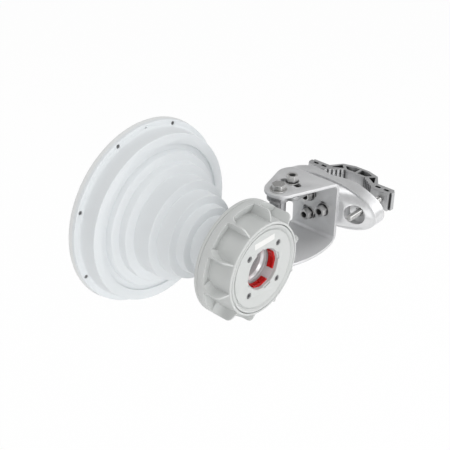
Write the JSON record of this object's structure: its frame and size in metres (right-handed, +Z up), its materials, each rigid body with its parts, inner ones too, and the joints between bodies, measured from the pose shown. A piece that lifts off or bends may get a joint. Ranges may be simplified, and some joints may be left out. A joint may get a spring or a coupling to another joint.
{
  "type": "horn antenna",
  "caption": "Stepped conical horn antenna with a closed mouth, ribbed port hub, swivel arm, three-sided bracket and bolted pole clamp.",
  "frame": {"origin": "centre of the radio port, in the plane of the back cover's face", "axes": "+Y out of the port along the horn's axis, so the horn looks along -Y; +Z up along the pole; the pole clamp is on the -X side"},
  "size_m": [0.3786, 0.2323, 0.2426],
  "materials": {
    "horn_coat": "satin pale grey",
    "radome_plastic": "smooth matt",
    "hub_plastic": "fine moulded grain",
    "socket_plastic": "moulded",
    "red_plastic": "moulded",
    "seal_rubber": "matt",
    "bare_aluminium": "turned",
    "cast_aluminium": "shot blasted casting",
    "bent_aluminium": "satin sheet",
    "drawn_aluminium": "extruded",
    "stainless": "plain stainless"
  },
  "bodies": {
    "saddle": {"clamp_saddle": "cast_aluminium", "pole_washers": "stainless", "pole_nuts": "stainless", "elevation_bolts": "stainless", "elevation_nuts": "stainless"},
    "jaw": {"clamp_jaw": "drawn_aluminium", "pole_bolts": "stainless"},
    "cradle": {"u_bracket": "bent_aluminium", "pivot_bolt": "stainless", "pivot_nut": "stainless", "pivot_washers": "stainless"},
    "head": {"horn_shell": "horn_coat", "rim_screws": "stainless", "rim_gasket": "seal_rubber", "radome": "radome_plastic", "hub_front_ring": "hub_plastic", "hub_housing": "hub_plastic", "ring_screws": "stainless", "back_cover": "hub_plastic", "cover_screws": "stainless", "port_socket": "socket_plastic", "lock_clips": "red_plastic", "port_seal": "seal_rubber", "throat_tube": "bare_aluminium", "bracket_arm": "cast_aluminium", "arm_screws": "stainless", "lock_bolt": "stainless", "lock_nut": "stainless"}
  },
  "joints": [
    {"name": "clamp_close", "type": "slide", "parent": "saddle", "child": "jaw", "axis": [1, 0, 0], "range_m": [-0.015, 0.025]},
    {"name": "elevation", "type": "hinge", "parent": "saddle", "child": "cradle", "pos_m": [-0.1632, -0.051, -0.0032], "axis": [1, 0, 0], "range_deg": [-25, 25]},
    {"name": "azimuth", "type": "hinge", "parent": "cradle", "child": "head", "pos_m": [-0.0975, -0.061, 0], "axis": [0, 0, 1], "range_deg": [-25, 25]}
  ]
}
